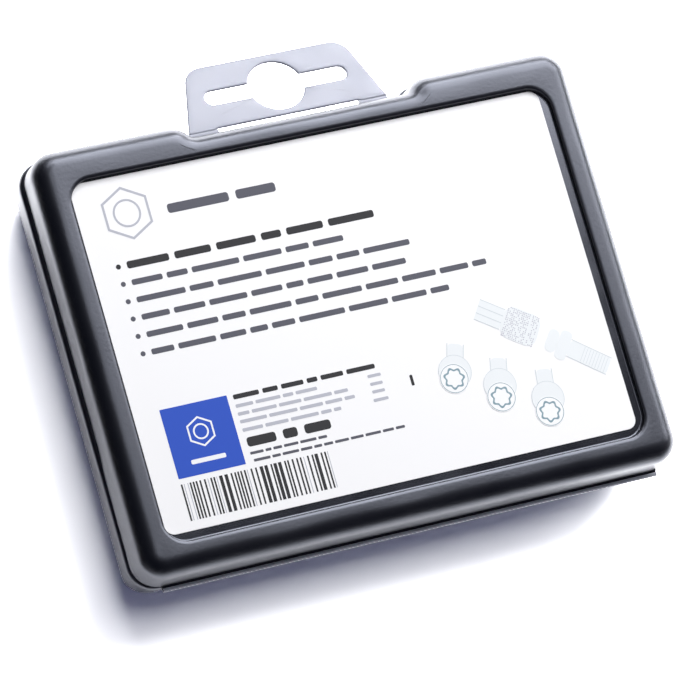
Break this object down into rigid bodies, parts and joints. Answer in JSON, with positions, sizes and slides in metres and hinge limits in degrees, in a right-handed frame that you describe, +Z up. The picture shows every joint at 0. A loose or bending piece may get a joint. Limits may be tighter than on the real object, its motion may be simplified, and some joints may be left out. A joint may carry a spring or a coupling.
{
  "type": "hinged storage case for locking wheel bolts",
  "caption": "Hinged blow-moulded hang case with label recess, holding locking wheel bolts and their key adapter in moulded pockets.",
  "frame": {"origin": "middle of the base's flat underside, which rests on the table", "axes": "+X along the case's long side, +Y from the hinge towards the hang tab, +Z up out of the lid's label recess"},
  "size_m": [0.1698, 0.15, 0.036],
  "materials": {
    "case_plastic": "blow-moulded polyethylene, satin with a fine grain",
    "label_card": "coated white card with plain printed fields",
    "tab_plastic": "translucent natural polypropylene, satin",
    "key_steel": "dark phosphated steel, knurled",
    "bolt_steel": "zinc-flake coated steel"
  },
  "bodies": {
    "base": {"case_base": "case_plastic", "hang_tab_root": "tab_plastic", "key_adapter": "key_steel", "locking_bolt_1": "bolt_steel", "locking_bolt_2": "bolt_steel", "locking_bolt_3": "bolt_steel", "locking_bolt_4": "bolt_steel"},
    "lid": {"case_lid": "case_plastic", "label_card": "label_card"},
    "tab": {"hang_tab": "tab_plastic"}
  },
  "joints": [
    {"name": "lid_hinge", "type": "hinge", "parent": "base", "child": "lid", "pos_m": [0, -0.0659, 0.022], "axis": [1, 0, 0], "range_deg": [0, 180]},
    {"name": "tab_fold", "type": "hinge", "parent": "base", "child": "tab", "pos_m": [0.0005, 0.0625, 0.0215], "axis": [1, 0, 0], "range_deg": [-42, 100]}
  ]
}
